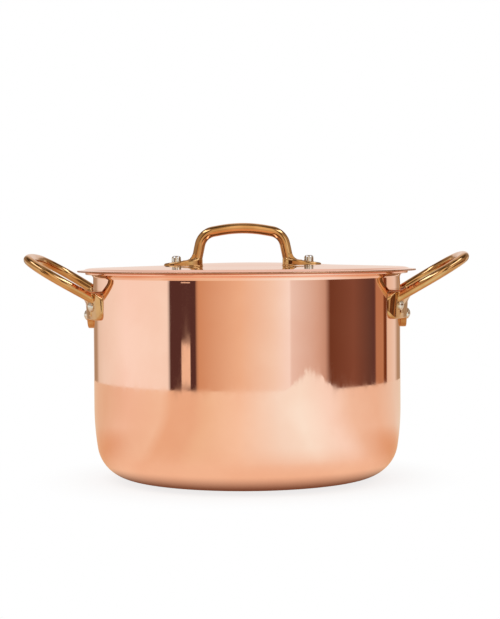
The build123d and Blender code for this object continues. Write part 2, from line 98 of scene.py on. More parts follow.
class Pen:
    """Draws a section in the XZ plane as one chain of edges, then makes it solid."""

    def __init__(self, x: float, z: float, heading: float = 0.0) -> None:
        """Put the pen down.

        Args:
            x: Start along X, or distance from the axis.
            z: Start height.
            heading: Direction in degrees, from +X towards +Z.
        """
        self.mesh = bmesh.new()
        self.tip = self.mesh.verts.new((x, 0.0, z))
        self.heading = math.radians(heading)

    def line(self, length: float, pitch: float = 1.0) -> "Pen":
        """Draw straight ahead.

        Args:
            length: Length of the run.
            pitch: About how long each edge of it may be.

        Returns:
            The pen.
        """
        steps = max(1, round(length / pitch))
        run = Vector((math.cos(self.heading), 0.0, math.sin(self.heading))) * (length / steps)
        for _ in range(steps):
            grown = bmesh.ops.extrude_vert_indiv(self.mesh, verts=[self.tip])
            self.tip = grown["verts"][0]
            bmesh.ops.translate(self.mesh, verts=[self.tip], vec=run)
        return self

    def line_to(self, x: float, z: float, pitch: float = 1.0) -> "Pen":
        """Draw a straight run to a point and head that way.

        Args:
            x: End along X.
            z: End height.
            pitch: About how long each edge of it may be.

        Returns:
            The pen.
        """
        run = Vector((x, 0.0, z)) - self.tip.co
        self.heading = math.atan2(run.z, run.x)
        return self.line(run.length, pitch)

    def arc(self, radius: float, degrees: float, steps: int) -> "Pen":
        """Draw an arc that leaves along the present heading.

        Args:
            radius: Radius of the arc.
            degrees: Turn, positive to the left.
            steps: Number of edges.

        Returns:
            The pen.
        """
        side = math.copysign(radius, degrees)
        centre = self.tip.co + Vector((-math.sin(self.heading), 0.0, math.cos(self.heading))) * side
        spun = bmesh.ops.spin(
            self.mesh, geom=[self.tip], cent=centre, axis=(0.0, -1.0, 0.0),
            angle=math.radians(degrees), steps=steps, use_merge=False,
        )
        self.tip = [part for part in spun["geom_last"] if isinstance(part, bmesh.types.BMVert)][0]
        self.heading += math.radians(degrees)
        return self

    def turned(self, segments: int = 256) -> bmesh.types.BMesh:
        """Turn the section about Z.

        Args:
            segments: Steps in the full turn.

        Returns:
            The closed solid, its faces pointing outwards.
        """
        bmesh.ops.remove_doubles(self.mesh, verts=self.mesh.verts[:], dist=FINE_WELD)
        bmesh.ops.spin(
            self.mesh, geom=self.mesh.verts[:] + self.mesh.edges[:], cent=(0.0, 0.0, 0.0),
            axis=(0.0, 0.0, 1.0), angle=math.tau, steps=segments, use_merge=True,
        )
        bmesh.ops.remove_doubles(self.mesh, verts=self.mesh.verts[:], dist=WELD)
        bmesh.ops.recalc_face_normals(self.mesh, faces=self.mesh.faces[:])
        return self.mesh

    def _filled(self) -> list[bmesh.types.BMFace]:
        """Close the chain and fill it with one face.

        Returns:
            The face, in a list.
        """
        bmesh.ops.remove_doubles(self.mesh, verts=self.mesh.verts[:], dist=WELD)
        bmesh.ops.contextual_create(self.mesh, geom=self.mesh.edges[:])
        return self.mesh.faces[:]

    def slab(self, low: float, high: float) -> bmesh.types.BMesh:
        """Make the closed section a slab along Y.

        Args:
            low: Y of one side.
            high: Y of the other.

        Returns:
            The closed solid.
        """
        faces = self._filled()
        bmesh.ops.translate(self.mesh, verts=self.mesh.verts[:], vec=(0.0, low, 0.0))
        grown = bmesh.ops.extrude_face_region(self.mesh, geom=faces)
        verts = [part for part in grown["geom"] if isinstance(part, bmesh.types.BMVert)]
        bmesh.ops.translate(self.mesh, verts=verts, vec=(0.0, high - low, 0.0))
        bmesh.ops.recalc_face_normals(self.mesh, faces=self.mesh.faces[:])
        return self.mesh

    def swung(self, degrees: float, steps: int) -> bmesh.types.BMesh:
        """Swing the closed section about Z, half the angle each way from +X.

        Args:
            degrees: Whole angle.
            steps: Number of steps.

        Returns:
            The closed solid.
        """
        faces = self._filled()
        start = Matrix.Rotation(math.radians(-degrees / 2.0), 4, "Z")
        bmesh.ops.transform(self.mesh, matrix=start, verts=self.mesh.verts[:])
        bmesh.ops.spin(
            self.mesh, geom=faces, cent=(0.0, 0.0, 0.0), axis=(0.0, 0.0, 1.0),
            angle=math.radians(degrees), steps=steps, use_merge=False,
        )
        bmesh.ops.recalc_face_normals(self.mesh, faces=self.mesh.faces[:])
        return self.mesh


class Bar:
    """A bar of oval section laid along straights and arcs in the XY plane."""

    SIDES = 40

    def __init__(self, x: float, y: float, heading: float, wide: float, thick: float) -> None:
        """Start a bar with its first end closed.

        Args:
            x: Start along X.
            y: Start along Y.
            heading: Direction in degrees, from +X towards +Y.
            wide: Size of the section in the plane.
            thick: Size of the section square to the plane.
        """
        self.mesh = bmesh.new()
        self.point = Vector((x, y, 0.0))
        self.heading = math.radians(heading)
        stand = Matrix.Rotation(self.heading, 4, "Z") @ Matrix.Rotation(math.pi / 2.0, 4, "Y")
        place = Matrix.Translation(self.point) @ stand @ Matrix.Diagonal((thick, wide, 1.0, 1.0))
        ring = bmesh.ops.create_circle(
            self.mesh, cap_ends=True, segments=self.SIDES, radius=0.5, matrix=place,
        )
        self.front = list({face for vert in ring["verts"] for face in vert.link_faces})

    def line(self, length: float, steps: int = 1) -> "Bar":
        """Lay a straight stretch.

        Args:
            length: Length of the stretch.
            steps: Number of rings along it.

        Returns:
            The bar.
        """
        run = Vector((math.cos(self.heading), math.sin(self.heading), 0.0)) * (length / steps)
        for _ in range(steps):
            grown = bmesh.ops.extrude_face_region(self.mesh, geom=self.front)
            verts = [part for part in grown["geom"] if isinstance(part, bmesh.types.BMVert)]
            self.front = [part for part in grown["geom"] if isinstance(part, bmesh.types.BMFace)]
            bmesh.ops.translate(self.mesh, verts=verts, vec=run)
            self.point += run
        return self

    def arc(self, radius: float, degrees: float, steps: int) -> "Bar":
        """Lay an arc that leaves along the present heading.

        Args:
            radius: Radius of the middle of the bar.
            degrees: Turn, positive to the left.
            steps: Number of rings along it.

        Returns:
            The bar.
        """
        side = math.copysign(radius, degrees)
        centre = self.point + Vector((-math.sin(self.heading), math.cos(self.heading), 0.0)) * side
        turn = math.radians(degrees)
        spun = bmesh.ops.spin(
            self.mesh, geom=self.front, cent=centre, axis=(0.0, 0.0, 1.0),
            angle=turn, steps=steps, use_merge=False,
        )
        self.front = [part for part in spun["geom_last"] if isinstance(part, bmesh.types.BMFace)]
        self.point = centre + Matrix.Rotation(turn, 3, "Z") @ (self.point - centre)
        self.heading += turn
        return self

    def solid(self, place: Matrix) -> bmesh.types.BMesh:
        """Finish the bar and put it in place.

        Args:
            place: Where the XY plane goes.

        Returns:
            The closed solid.
        """
        bmesh.ops.transform(self.mesh, matrix=place, verts=self.mesh.verts[:])
        bmesh.ops.recalc_face_normals(self.mesh, faces=self.mesh.faces[:])
        return self.mesh


class Foundry:
    """Boolean and voxel work on throw-away objects."""

    @staticmethod
    def _object(solid: bmesh.types.BMesh) -> bpy.types.Object:
        """Put a solid in the scene for a moment.

        Args:
            solid: Solid, which is used up.

        Returns:
            The throw-away object.
        """
        mesh = bpy.data.meshes.new("mould")
        solid.to_mesh(mesh)
        solid.free()
        thing = bpy.data.objects.new("mould", mesh)
        bpy.context.scene.collection.objects.link(thing)
        return thing

    @staticmethod
    def _settled(thing: bpy.types.Object) -> bmesh.types.BMesh:
        """Apply a throw-away object's modifiers and take its mesh.

        Args:
            thing: The object.

        Returns:
            The mesh with its modifiers applied.
        """
        graph = bpy.context.evaluated_depsgraph_get()
        mesh = bpy.data.meshes.new_from_object(thing.evaluated_get(graph))
        solid = bmesh.new()
        solid.from_mesh(mesh)
        bpy.data.meshes.remove(mesh)
        return solid

    @classmethod
    def carve(cls, blank: bmesh.types.BMesh, cutter: bmesh.types.BMesh, keep: Keep) -> bmesh.types.BMesh:
        """Cut one solid with another.

        Args:
            blank: Closed solid to cut.
            cutter: Closed solid to cut it with.
            keep: Which part stays.

        Returns:
            The part that stays.
        """
        thing, tool = cls._object(blank), cls._object(cutter)
        cut = thing.modifiers.new("cut", "BOOLEAN")
        cut.operation = keep.value
        cut.solver = "EXACT"
        cut.object = tool
        solid = cls._settled(thing)
        for used in (thing, tool):
            bpy.data.meshes.remove(used.data)
        return solid

    @classmethod
    def cast(cls, solids: list[bmesh.types.BMesh], voxel: float, rounds: int) -> bmesh.types.BMesh:
        """Melt overlapping solids into one skin and rub its edges soft.

        Args:
            solids: Closed solids.
            voxel: Size of the grid.
            rounds: Smoothing passes.

        Returns:
            One closed solid.
        """
        whole = bpy.data.meshes.new("mould")
        joined = bmesh.new()
        for solid in solids:
            solid.to_mesh(whole)
            joined.from_mesh(whole)
            solid.free()
        bpy.data.meshes.remove(whole)
        thing = cls._object(joined)
        melt = thing.modifiers.new("melt", "REMESH")
        melt.mode = "VOXEL"
        melt.voxel_size = voxel
        rub = thing.modifiers.new("rub", "SMOOTH")
        rub.factor = 0.5
        rub.iterations = rounds
        solid = cls._settled(thing)
        bpy.data.meshes.remove(thing.data)
        return solid


def fit(
    name: str, solid: bmesh.types.BMesh, body: Body, finish: bpy.types.Material,
    nodes: tuple[str, ...], sharp: float = 40.0,
) -> bpy.types.Object:
    """Make a finished solid a piece of the object.

    Args:
        name: Name of the piece.
        solid: Its closed mesh, in place.
        body: Body that it rides on.
        finish: Its material.
        nodes: CAD nodes that it stands for.
        sharp: Edges bent more than this many degrees stay crisp.

    Returns:
        The new object.
    """
    mesh = bpy.data.meshes.new(name)
    for face in solid.faces:
        face.smooth = True
    solid.to_mesh(mesh)
    solid.free()
    mesh.set_sharp_from_angle(angle=math.radians(sharp))
    mesh.materials.append(finish)
    piece = bpy.data.objects.new(name, mesh)
    bpy.context.scene.collection.objects.link(piece)
    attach(piece, body.value)
    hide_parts(*nodes)
    LOG.info("%s: %d faces on %s", name, len(mesh.polygons), body.value)
    return piece


class Bench:
    """Short hand for adding and joining shader nodes."""

    def __init__(self, tree: bpy.types.NodeTree) -> None:
        """Clear a node tree for use."""
        self.tree = tree
        tree.nodes.clear()

    def add(self, kind: str, settings: dict | None = None, **inputs: object) -> bpy.types.Node:
        """Add a node.

        Args:
            kind: Type of the node, without its ShaderNode prefix.
            settings: Properties of the node.
            inputs: Values or sockets for its inputs, spaces written as underscores.

        Returns:
            The node.
        """
        node = self.tree.nodes.new("ShaderNode" + kind)
        for key, value in (settings or {}).items():
            setattr(node, key, value)
        for key, value in inputs.items():
            self.put(node.inputs[key.replace("_", " ")], value)
        return node

    def put(self, socket: bpy.types.NodeSocket, value: object) -> None:
        """Join a socket to another, or give it a value.

        Args:
            socket: Input to fill.
            value: Value or socket.
        """
        if isinstance(value, bpy.types.NodeSocket):
            self.tree.links.new(value, socket)
        else:
            socket.default_value = value

    def sum(self, operation: str, first: object, second: object = 0.0) -> bpy.types.NodeSocket:
        """Work out a number.

        Args:
            operation: Name of the operation.
            first: Value or socket.
            second: Value or socket.

        Returns:
            The result.
        """
        node = self.tree.nodes.new("ShaderNodeMath")
        node.operation = operation
        self.put(node.inputs[0], first)
        self.put(node.inputs[1], second)
        return node.outputs[0]

    def blend(self, share: object, first: object, second: object) -> bpy.types.NodeSocket:
        """Mix two colours.

        Args:
            share: How much of the second.
            first: Colour or socket.
            second: Colour or socket.

        Returns:
            The mixed colour.
        """
        node = self.tree.nodes.new("ShaderNodeMix")
        node.data_type = "RGBA"
        self.put(node.inputs[0], share)
        for socket, value in ((node.inputs[6], first), (node.inputs[7], second)):
            self.put(socket, value if isinstance(value, bpy.types.NodeSocket) else (*value, 1.0))
        return node.outputs[2]

    def mix(
        self, share: object, first: bpy.types.NodeSocket, second: bpy.types.NodeSocket,
    ) -> bpy.types.NodeSocket:
        """Mix two shaders.

        Args:
            share: How much of the second.
            first: Shader.
            second: Shader.

        Returns:
            The mixed shader.
        """
        node = self.tree.nodes.new("ShaderNodeMixShader")
        for socket, value in zip(node.inputs, (share, first, second)):
            self.put(socket, value)
        return node.outputs[0]

    def spread(
        self, value: object, start: float, end: float, low: float = 0.0, high: float = 1.0,
    ) -> bpy.types.NodeSocket:
        """Map one range to another with soft ends.

        Args:
            value: Socket to map.
            start: Value that gives low.
            end: Value that gives high.
            low: Result at start.
            high: Result at end.

        Returns:
            The mapped number.
        """
        node = self.tree.nodes.new("ShaderNodeMapRange")
        node.interpolation_type = "SMOOTHSTEP"
        for socket, number in zip(node.inputs, (value, start, end, low, high)):
            self.put(socket, number)
        return node.outputs[0]

    def ramp(self, value: bpy.types.NodeSocket, stops: tuple[Stop, ...]) -> bpy.types.NodeSocket:
        """Colour by a number from 0 to 1.

        Args:
            value: Socket of the number.
            stops: Places and colours, in order.

        Returns:
            The colour.
        """
        node = self.tree.nodes.new("ShaderNodeValToRGB")
        band = node.color_ramp
        while len(band.elements) < len(stops):
            band.elements.new(1.0)
        for element, (place, colour) in zip(band.elements, stops):
            element.position = place
            element.color = (*colour, 1.0)
        self.put(node.inputs[0], value)
        return node.outputs[0]


# Finishes


@dataclass(frozen=True)
class Finish:
    """Polished or wiped metal with uneven tone, uneven gloss and a bumpy skin."""

    name: str
    tint: Colour
    shade: Colour
    shade_scale: float
    gloss: tuple[float, float]
    gloss_scale: float
    swell: tuple[float, float]
    grain: tuple[float, float]
    stretch: Colour = (1.0, 1.0, 1.0)
    cloud_span: tuple[float, float] = (0.35, 0.7)
    rub_span: tuple[float, float] = (0.3, 0.7)

    def build(self) -> bpy.types.Material:
        """Make the material.

        Returns:
            The material, with its pattern on Object coordinates.
        """
        material = bpy.data.materials.new(self.name)
        material.use_nodes = True
        bench = Bench(material.node_tree)
        place = bench.add("TexCoord").outputs["Object"]
        drawn = bench.add("Mapping", Vector=place, Scale=self.stretch).outputs[0]
        cloud = bench.add("TexNoise", Vector=place, Scale=self.shade_scale, Detail=3.0).outputs[0]
        tone = bench.blend(bench.spread(cloud, *self.cloud_span), self.tint, self.shade)
        rubbed = bench.add("TexNoise", Vector=drawn, Scale=self.gloss_scale, Detail=4.0).outputs[0]
        rough = bench.spread(rubbed, *self.rub_span, *self.gloss)
        swell = bench.add("TexNoise", Vector=place, Scale=self.swell[0], Detail=0.0).outputs[0]
        grain = bench.add("TexNoise", Vector=drawn, Scale=self.grain[0], Detail=2.0).outputs[0]
        first = bench.add("Bump", Height=swell, Distance=self.swell[1]).outputs[0]
        second = bench.add("Bump", Height=grain, Distance=self.grain[1], Normal=first).outputs[0]
        shader = bench.add("BsdfPrincipled", Base_Color=tone, Metallic=1.0, Roughness=rough, Normal=second)
        bench.add("OutputMaterial", Surface=shader.outputs[0])
        material.diffuse_color = (*self.tint, 1.0)
        return material


COPPER = Finish(
    "polished_copper", (0.955, 0.638, 0.538), (0.935, 0.595, 0.49), 22.0,
    (0.02, 0.055), 160.0, (18.0, 1.1e-5), (260.0, 9.0e-7), (1.0, 1.0, 0.35),
)
# Darker, rougher copper on the outer edge of the lid sheet.
DARK_EDGE_COPPER = Finish(
    "dark_copper_edge", (0.6, 0.33, 0.21), (0.46, 0.23, 0.14), 40.0,
    (0.28, 0.42), 200.0, (60.0, 1.0e-5), (500.0, 4.0e-6),
)
BRASS = Finish(
    "polished_brass", (0.66, 0.4, 0.18), (0.53, 0.295, 0.115), 60.0,
    (0.05, 0.12), 300.0, (90.0, 2.0e-5), (700.0, 1.5e-6),
)
TIN = Finish(
    "wiped_tin", (0.8, 0.79, 0.765), (0.69, 0.68, 0.655), 30.0,
    (0.22, 0.4), 90.0, (45.0, 5.0e-5), (400.0, 1.0e-5), (1.0, 1.0, 0.35),
)
RIVET = Finish(
    "rivet_steel", (0.78, 0.77, 0.75), (0.66, 0.65, 0.63), 300.0,
    (0.1, 0.2), 500.0, (250.0, 1.0e-5), (1200.0, 2.0e-6),
)


# Pan


@dataclass
class Pan:
    """Copper shell with a flared lip, and the tin inside it."""

    copper: bpy.types.Material
    tin: bpy.types.Material
    rim_height: float = field(default_factory=lambda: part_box("pot_body")[1].z)
    lip_radius: float = field(default_factory=lambda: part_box("pot_body")[1].x)
    lip_overhang: float = 0.0062
    lip_bend: float = 0.0032
    wall: float = 0.002
    tin_coat: float = 0.0003
    corner_radius: float = 0.028
    flank_radius: float = 0.2
    flank_angle: float = 9.0
    tin_end_angle: float = 60.0
    pitch: float = 0.0025
    corner_steps: int = 22
    bend_steps: int = 10
    edge_steps: int = 8

    @property
    def body_radius(self) -> float:
        """Outside of the straight wall."""
        return self.lip_radius - self.lip_overhang

    @property
    def bend_height(self) -> float:
        """Height at which the wall starts to bend out."""
        return self.rim_height - self.wall - self.lip_bend

    @property
    def corner_top(self) -> float:
        """Height at which the wall meets its corner, and the width of that corner."""
        turn = math.radians(self.flank_angle)
        flank = self.flank_radius * (math.sin(turn) + 1.0 - math.cos(turn))
        return flank + self.corner_radius * (math.cos(turn) - math.sin(turn))

    @property
    def base_radius(self) -> float:
        """Edge of the flat base."""
        return self.body_radius - self.corner_top

    def _corner(self, pen: Pen, inset: float, way: int) -> None:
        """Draw the curve between base and wall.

        Args:
            pen: Pen at one end of the curve.
            inset: How far the curve is moved inwards.
            way: 1 from the base up, -1 from the wall down.
        """
        flank, corner = self.flank_radius - inset, self.corner_radius - inset
        pen.arc(flank, way * self.flank_angle, self.bend_steps)
        pen.arc(corner, way * (90.0 - 2.0 * self.flank_angle), self.corner_steps)
        pen.arc(flank, way * self.flank_angle, self.bend_steps)

    def shell(self) -> bpy.types.Object:
        """Turn the copper shell.

        Returns:
            The piece.
        """
        half = self.wall / 2.0
        pen = Pen(0.0, 0.0)
        pen.line(self.base_radius, self.pitch * 3.0)
        self._corner(pen, 0.0, 1)
        pen.line_to(self.body_radius, self.bend_height, self.pitch)
        pen.arc(self.lip_bend, -90.0, self.edge_steps)
        pen.line_to(self.lip_radius - half, self.rim_height - self.wall, self.pitch / 2.0)
        pen.arc(half, 180.0, self.edge_steps)
        pen.line_to(self.body_radius + self.lip_bend, self.rim_height, self.pitch / 2.0)
        pen.arc(self.lip_bend + self.wall, 90.0, self.bend_steps)
        pen.line_to(self.body_radius - self.wall, self.corner_top, self.pitch * 2.0)
        self._corner(pen, self.wall, -1)
        pen.line_to(0.0, self.wall, self.pitch * 3.0)
        return fit("pan_shell", pen.turned(), Body.POT, self.copper, ("pot_body",))

    def tinning(self) -> bpy.types.Object:
        """Turn the tin on the inside of the pan.

        Returns:
            The piece.
        """
        inner = self.wall + self.tin_coat
        pen = Pen(0.0, self.wall)
        pen.line(self.base_radius, self.pitch * 3.0)
        self._corner(pen, self.wall, 1)
        pen.line_to(self.body_radius - self.wall, self.bend_height, self.pitch * 2.0)
        pen.arc(self.lip_bend + self.wall, -self.tin_end_angle, self.edge_steps)
        turn = math.radians(self.tin_end_angle)
        reach = self.lip_bend + inner
        centre = self.body_radius + self.lip_bend
        pen.line_to(centre - reach * math.cos(turn), self.bend_height + reach * math.sin(turn))
        pen.heading = math.radians(-90.0 - self.tin_end_angle)
        pen.arc(reach, self.tin_end_angle, self.edge_steps)
        pen.line_to(self.body_radius - inner, self.corner_top, self.pitch * 2.0)
        self._corner(pen, inner, -1)
        pen.line_to(0.0, inner, self.pitch * 3.0)
        return fit("pan_tinning", pen.turned(), Body.POT, self.tin, ("pot_lining",))


# Lid


@dataclass
class Lid:
    """Dished copper sheet with its tin and the ring that centres it."""

    pan: Pan
    copper: bpy.types.Material
    dark_edge: bpy.types.Material
    tin: bpy.types.Material
    radius: float = field(default_factory=lambda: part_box("lid_shell")[1].x)
    sheet: float = 0.0012
    step_height: float = 0.0015
    step_outset: float = 0.0006
    roll_start: float = 0.1228
    roll_turn: float = 24.0
    slope_rise: float = 0.0017
    crown_plan: float = 0.07
    crown_rise: float = 0.0022
    ring_sheet: float = 0.0015
    ring_depth: float = 0.005
    ring_clearance: float = 0.0006
    ring_bend: float = 0.0025
    ring_round: float = 0.0005
    pitch: float = 0.003
    edge_pitch: float = 0.001
    crown_steps: int = 24
    roll_steps: int = 12
    edge_steps: int = 8
    round_steps: int = 4
    sharp: float = 70.0

    @property
    def step_radius(self) -> float:
        """Where the dished part begins."""
        return self.pan.lip_radius + self.step_outset

    @property
    def crown_height(self) -> float:
        """Height of the middle above the flat edge."""
        return self.step_height + self.slope_rise + self.crown_rise

    @property
    def crown_radius(self) -> float:
        """Radius of the crown's sphere."""
        return (self.crown_plan ** 2 + self.crown_rise ** 2) / (2.0 * self.crown_rise)

    @property
    def top(self) -> float:
        """Height of the flat edge's upper side."""
        return self.pan.rim_height + self.sheet

    def crown_at(self, radius: float) -> float:
        """Height of the crown's upper side at one distance from the axis."""
        sag = self.crown_radius - math.sqrt(self.crown_radius ** 2 - radius ** 2)
        return self.top + self.crown_height - sag

    def slope_at(self, radius: float) -> float:
        """Height of the even slope above the flat edge at one distance from the axis."""
        share = (self.step_radius - radius) / (self.step_radius - self.crown_plan)
        return self.step_height + self.slope_rise * share

    def _crown_out(self, pen: Pen, base: float) -> None:
        """Draw crown and slope from the axis out to the rolled edge.

        Args:
            pen: Pen on the axis.
            base: Height of the flat edge on that side of the sheet.
        """
        turn = math.degrees(math.asin(self.crown_plan / self.crown_radius))
        pen.arc(self.crown_radius, -turn, self.crown_steps)
        pen.line_to(self.roll_start, base + self.slope_at(self.roll_start), self.pitch)

    def _crown_in(self, pen: Pen, base: float) -> None:
        """Draw slope and crown from the rolled edge in to the axis.

        Args:
            pen: Pen at the rolled edge.
            base: Height of the flat edge on that side of the sheet.
        """
        pen.line_to(self.crown_plan, base + self.slope_at(self.crown_plan), self.pitch)
        turn = math.asin(self.crown_plan / self.crown_radius)
        pen.heading = math.pi - turn
        pen.arc(self.crown_radius, math.degrees(turn), self.crown_steps)

    def _sheet_edge(self, pen: Pen) -> None:
        """Roll down to the flat edge, round the edge of the sheet and roll back up.

        Args:
            pen: Pen at the start of the roll, on the upper side.
        """
        lean = -math.degrees(pen.heading)
        turn, start = math.radians(self.roll_turn), math.radians(lean)
        drop = math.cos(start) - 2.0 * math.cos(turn) + 1.0
        radius = self.slope_at(self.roll_start) / drop
        pen.arc(radius, lean - self.roll_turn, self.roll_steps)
        pen.arc(radius, self.roll_turn, self.roll_steps)
        foot = pen.tip.co.x
        pen.line_to(self.radius - self.sheet / 2.0, self.top, self.edge_pitch)
        pen.arc(self.sheet / 2.0, -180.0, self.edge_steps)
        pen.line_to(foot, self.pan.rim_height, self.edge_pitch)
        pen.arc(radius + self.sheet, -self.roll_turn, self.roll_steps)
        pen.arc(radius - self.sheet, self.roll_turn - lean, self.roll_steps)

    def plate(self) -> bpy.types.Object:
        """Turn the copper sheet.

        Returns:
            The piece.
        """
        pen = Pen(0.0, self.top + self.crown_height)
        self._crown_out(pen, self.top)
        self._sheet_edge(pen)
        self._crown_in(pen, self.pan.rim_height)
        solid = pen.turned()
        plate = fit("lid_plate", solid, Body.LID, self.copper, ("lid_shell",), self.sharp)
        plate.data.materials.append(self.dark_edge)
        # Faces on the sheet's outer edge get the darker, rougher copper.
        dark_edge_start = self.radius - self.sheet / 3.0
        for face in plate.data.polygons:
            face.material_index = int(Vector(face.center).xy.length > dark_edge_start)
        return plate

    def tinning(self) -> bpy.types.Object:
        """Turn the tin under the lid.

        Returns:
            The piece.
        """
        rim, coat = self.pan.rim_height, self.pan.tin_coat
        pen = Pen(0.0, rim + self.crown_height)
        self._crown_out(pen, rim)
        pen.line_to(self.roll_start, rim - coat + self.slope_at(self.roll_start))
        self._crown_in(pen, rim - coat)
        return fit("lid_tinning", pen.turned(), Body.LID, self.tin, ("lid_lining",))

    def ring(self) -> bpy.types.Object:
        """Turn the ring that drops inside the wall.

        Returns:
            The piece.
        """
        rim, coat = self.pan.rim_height, self.pan.tin_coat
        outer = self.pan.body_radius - self.pan.wall - coat - self.ring_clearance
        inner = outer - self.ring_sheet
        low, end = rim - self.ring_depth, self.roll_start
        pen = Pen(inner + self.ring_round, low)
        pen.line_to(outer - self.ring_round, low)
        pen.arc(self.ring_round, 90.0, self.round_steps)
        pen.line_to(outer, rim - self.ring_bend, self.edge_pitch)
        pen.arc(self.ring_bend, -90.0, self.edge_steps)
        pen.line_to(end, rim, self.edge_pitch)
        pen.line_to(end, rim - coat + self.slope_at(end))
        pen.line_to(inner, rim - coat + self.slope_at(inner), 2.0 * self.edge_pitch)
        pen.line_to(inner, low + self.ring_round, 2.0 * self.edge_pitch)
        pen.arc(self.ring_round, 90.0, self.round_steps)
        return fit("lid_ring", pen.turned(), Body.LID, self.tin, ("lid_collar",))


# Handles


@dataclass
class LidGrip:
    """Brass arch on two leaf-shaped feet, with its two rivets."""

    lid: Lid
    brass: bpy.types.Material
    steel: bpy.types.Material
    offset: float = -0.0031
    guide_height: float = 0.0339
    shoulder_drop: float = 0.0057
    shoulder_half: float = 0.0315
    foot_half: float = 0.0375
    shoulder_radius: float = 0.013
    crown_radius: float = 0.1
    bar: float = 0.0083
    depth: float = 0.0092
    flare_reach: float = 0.0465
    flare_thick: float = 0.0031
    flare_radius: float = 0.006
    foot_reach: float = 0.0618
    foot_root: float = 0.0313
    foot_wide: float = 0.0172
    foot_tip_thick: float = 0.0013
    foot_root_thick: float = 0.0043
    rivet_spread: float = 0.052
    rivet_shank: float = 0.0046
    rivet_base: float = 0.0075
    rivet_top: float = 0.0073
    rivet_height: float = 0.0047
    rivet_round: float = 0.0021
    foot_round: float = 0.0013
    under_head: float = 0.01
    under_thick: float = 0.0011
    under_round: float = 0.0006
    head_sink: float = 0.0006
    flare_share: float = 0.46
    leg_steps: int = 8
    shoulder_steps: int = 20
    top_steps: int = 4
    crown_steps: int = 12
    foot_sides: int = 96
    rivet_sides: int = 64
    voxel: float = 0.0003
    rub_rounds: int = 8
    sharp: float = 75.0

    @property
    def leg_angle(self) -> float:
        """Lean of the legs in radians, up from level."""
        return math.atan2(self.guide_height - self.shoulder_drop, self.foot_half - self.shoulder_half)

    def foot_top(self, reach: float) -> float:
        """Work out the height of the top of the feet.

        Args:
            reach: Distance from the handle's middle.

        Returns:
            The height.
        """
        root = self.lid.crown_at(self.foot_root) + self.foot_root_thick
        tip = self.lid.crown_at(self.foot_reach) + self.foot_tip_thick
        return root + (tip - root) * (reach - self.foot_root) / (self.foot_reach - self.foot_root)

    def _arch(self) -> bmesh.types.BMesh:
        """Lay the bar from foot to foot in a level plane and stand it up.

        Returns:
            The closed bar.
        """
        shoulder, leg = self.guide_height - self.shoulder_drop, self.leg_angle
        rise = math.atan2(self.shoulder_drop, self.shoulder_half)
        corner = self.shoulder_radius * math.tan((leg - rise) / 2.0)
        crown = self.crown_radius * math.tan(rise)
        leg_run = math.hypot(shoulder, self.foot_half - self.shoulder_half) - corner
        top_run = math.hypot(self.shoulder_half, self.shoulder_drop) - corner - crown
        bar = Bar(-self.foot_half, 0.0, math.degrees(leg), self.bar, self.depth)
        bar.line(leg_run, self.leg_steps)
        bar.arc(self.shoulder_radius, math.degrees(rise - leg), self.shoulder_steps)
        bar.line(top_run, self.top_steps)
        bar.arc(self.crown_radius, -2.0 * math.degrees(rise), self.crown_steps)
        bar.line(top_run, self.top_steps)
        bar.arc(self.shoulder_radius, math.degrees(rise - leg), self.shoulder_steps)
        bar.line(leg_run, self.leg_steps)
        stand = Matrix.Translation((0.0, 0.0, self.lid.top)) @ Matrix.Rotation(math.pi / 2.0, 4, "X")
        return bar.solid(stand)

    def _flare(self) -> bmesh.types.BMesh:
        """Make the hollow web between the outside of a leg and its foot.

        Returns:
            The closed web.
        """
        low, leg = self.lid.top, self.leg_angle
        top = self.lid.crown_at(self.flare_reach) + self.flare_thick
        inner = self.foot_root + self.bar / 2.0
        outside = self.foot_half + self.bar / 2.0 / math.sin(leg) - (top - low) / math.tan(leg)
        run = self.flare_radius * math.tan(leg / 2.0)
        pen = Pen(inner, low)
        pen.line_to(self.flare_reach, low)
        pen.line_to(self.flare_reach, top)
        pen.line_to(outside + run, top)
        pen.arc(self.flare_radius, -math.degrees(leg), self.leg_steps)
        pen.line_to(inner, pen.tip.co.z)
        pen.line_to(inner, low)
        return pen.slab(-self.depth * self.flare_share, self.depth * self.flare_share)

    def _foot(self) -> bmesh.types.BMesh:
        """Make a leaf-shaped foot, thinner towards its tip.

        Returns:
            The closed foot.
        """
        solid = bmesh.new()
        middle = (self.foot_root + self.foot_reach) / 2.0
        half = (self.foot_reach - self.foot_root) / 2.0
        low = self.lid.crown_at(self.foot_reach) - self.lid.sheet / 2.0
        oval = Matrix.Diagonal((half, self.foot_wide / 2.0, 1.0, 1.0))
        place = Matrix.Translation((middle, 0.0, low)) @ oval
        ring = bmesh.ops.create_circle(
            solid, cap_ends=True, segments=self.foot_sides, radius=1.0, matrix=place,
        )
        faces = list({face for vert in ring["verts"] for face in vert.link_faces})
        grown = bmesh.ops.extrude_face_region(solid, geom=faces)
        for vert in (part for part in grown["geom"] if isinstance(part, bmesh.types.BMVert)):
            vert.co.z = self.foot_top(vert.co.x)
        bmesh.ops.recalc_face_normals(solid, faces=solid.faces[:])
        rim = [part for part in grown["geom"] if isinstance(part, bmesh.types.BMEdge)]
        bmesh.ops.bevel(
            solid, geom=rim, offset=self.foot_round, segments=4, profile=0.5, affect="EDGES",
            material=-1, clamp_overlap=True,
        )
        return solid

